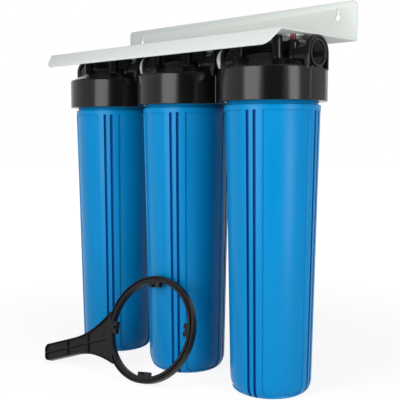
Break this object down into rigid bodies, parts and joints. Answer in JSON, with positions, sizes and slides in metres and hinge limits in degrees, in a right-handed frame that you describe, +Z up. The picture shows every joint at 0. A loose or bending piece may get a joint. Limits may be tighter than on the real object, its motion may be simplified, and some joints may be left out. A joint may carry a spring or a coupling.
{
  "type": "three-stage filter housing",
  "caption": "Row of whole-house water filter housings under a folded wall bracket, with screw-on sumps, cartridges, relief buttons and a ring wrench.",
  "frame": {"origin": "middle of the flat foot of the middle sump", "axes": "+Z up along the sumps, +Y towards the wall, +X along the row from the inlet to the outlet"},
  "size_m": [0.584, 0.3009, 0.6624],
  "materials": {
    "bracket_paint": "pale grey powder coat, satin",
    "head_plastic": "moulded black polypropylene, satin gloss",
    "sump_plastic": "moulded blue polypropylene, satin gloss",
    "seal_rubber": "matte",
    "button_red": "satin",
    "spring_steel": "bright wire",
    "bolt_steel": "zinc plated",
    "nipple_plastic": "moulded, satin",
    "media_white": "melt-blown fibre, matte",
    "media_black": "pressed carbon block, matte",
    "end_cap_plastic": "moulded, satin",
    "wrench_plastic": "moulded, satin"
  },
  "bodies": {
    "frame": {"bracket": "bracket_paint", "head_left": "head_plastic", "head_middle": "head_plastic", "head_right": "head_plastic", "nipple_left_to_middle": "nipple_plastic", "nipple_middle_to_right": "nipple_plastic", "bolt_left_1": "bolt_steel", "bolt_left_2": "bolt_steel", "bolt_left_3": "bolt_steel", "bolt_left_4": "bolt_steel", "bolt_middle_1": "bolt_steel", "bolt_middle_2": "bolt_steel", "bolt_middle_3": "bolt_steel", "bolt_middle_4": "bolt_steel", "bolt_right_1": "bolt_steel", "bolt_right_2": "bolt_steel", "bolt_right_3": "bolt_steel", "bolt_right_4": "bolt_steel", "relief_spring_left": "spring_steel", "relief_spring_middle": "spring_steel", "relief_spring_right": "spring_steel"},
    "cartridge_left": {"media_left": "media_white", "core_left": "end_cap_plastic", "end_cap_bottom_left": "end_cap_plastic", "end_cap_top_left": "end_cap_plastic"},
    "sump_body_left": {"sump_left": "sump_plastic", "rim_seal_left": "seal_rubber"},
    "relief_body_left": {"relief_button_left": "button_red", "relief_seal_left": "seal_rubber"},
    "cartridge_middle": {"media_middle": "media_black", "core_middle": "end_cap_plastic", "end_cap_bottom_middle": "end_cap_plastic", "end_cap_top_middle": "end_cap_plastic"},
    "sump_body_middle": {"sump_middle": "sump_plastic", "rim_seal_middle": "seal_rubber"},
    "relief_body_middle": {"relief_button_middle": "button_red", "relief_seal_middle": "seal_rubber"},
    "cartridge_right": {"media_right": "media_white", "core_right": "end_cap_plastic", "end_cap_bottom_right": "end_cap_plastic", "end_cap_top_right": "end_cap_plastic"},
    "sump_body_right": {"sump_right": "sump_plastic", "rim_seal_right": "seal_rubber"},
    "relief_body_right": {"relief_button_right": "button_red", "relief_seal_right": "seal_rubber"},
    "wrench_body": {"wrench": "wrench_plastic"}
  },
  "joints": [
    {"name": "sump_lower_left", "type": "slide", "parent": "frame", "child": "cartridge_left", "axis": [0, 0, -1], "range_m": [0, 0.0151]},
    {"name": "sump_unscrew_left", "type": "hinge", "parent": "cartridge_left", "child": "sump_body_left", "pos_m": [-0.2, 0, 0.5], "axis": [0, 0, -1], "range_deg": [0, 900]},
    {"name": "relief_press_left", "type": "slide", "parent": "frame", "child": "relief_body_left", "axis": [0, 0, -1], "range_m": [0, 0.002], "stiffness_N_per_m": 600, "springref_m": -0.005, "deforming": ["relief_spring_left"]},
    {"name": "sump_lower_middle", "type": "slide", "parent": "frame", "child": "cartridge_middle", "axis": [0, 0, -1], "range_m": [0, 0.0151]},
    {"name": "sump_unscrew_middle", "type": "hinge", "parent": "cartridge_middle", "child": "sump_body_middle", "pos_m": [0, 0, 0.5], "axis": [0, 0, -1], "range_deg": [0, 900]},
    {"name": "relief_press_middle", "type": "slide", "parent": "frame", "child": "relief_body_middle", "axis": [0, 0, -1], "range_m": [0, 0.002], "stiffness_N_per_m": 600, "springref_m": -0.005, "deforming": ["relief_spring_middle"]},
    {"name": "sump_lower_right", "type": "slide", "parent": "frame", "child": "cartridge_right", "axis": [0, 0, -1], "range_m": [0, 0.0151]},
    {"name": "sump_unscrew_right", "type": "hinge", "parent": "cartridge_right", "child": "sump_body_right", "pos_m": [0.2, 0, 0.5], "axis": [0, 0, -1], "range_deg": [0, 900]},
    {"name": "relief_press_right", "type": "slide", "parent": "frame", "child": "relief_body_right", "axis": [0, 0, -1], "range_m": [0, 0.002], "stiffness_N_per_m": 600, "springref_m": -0.005, "deforming": ["relief_spring_right"]},
    {"name": "wrench_lift", "type": "slide", "parent": "frame", "child": "wrench_body", "axis": [0, -0.5, 0.866], "range_m": [0, 0.3]}
  ],
  "couplings": [
    {"joint": "sump_lower_left", "follows": "sump_unscrew_left", "m_per_rad": 0.00095493},
    {"joint": "sump_lower_middle", "follows": "sump_unscrew_middle", "m_per_rad": 0.00095493},
    {"joint": "sump_lower_right", "follows": "sump_unscrew_right", "m_per_rad": 0.00095493}
  ]
}
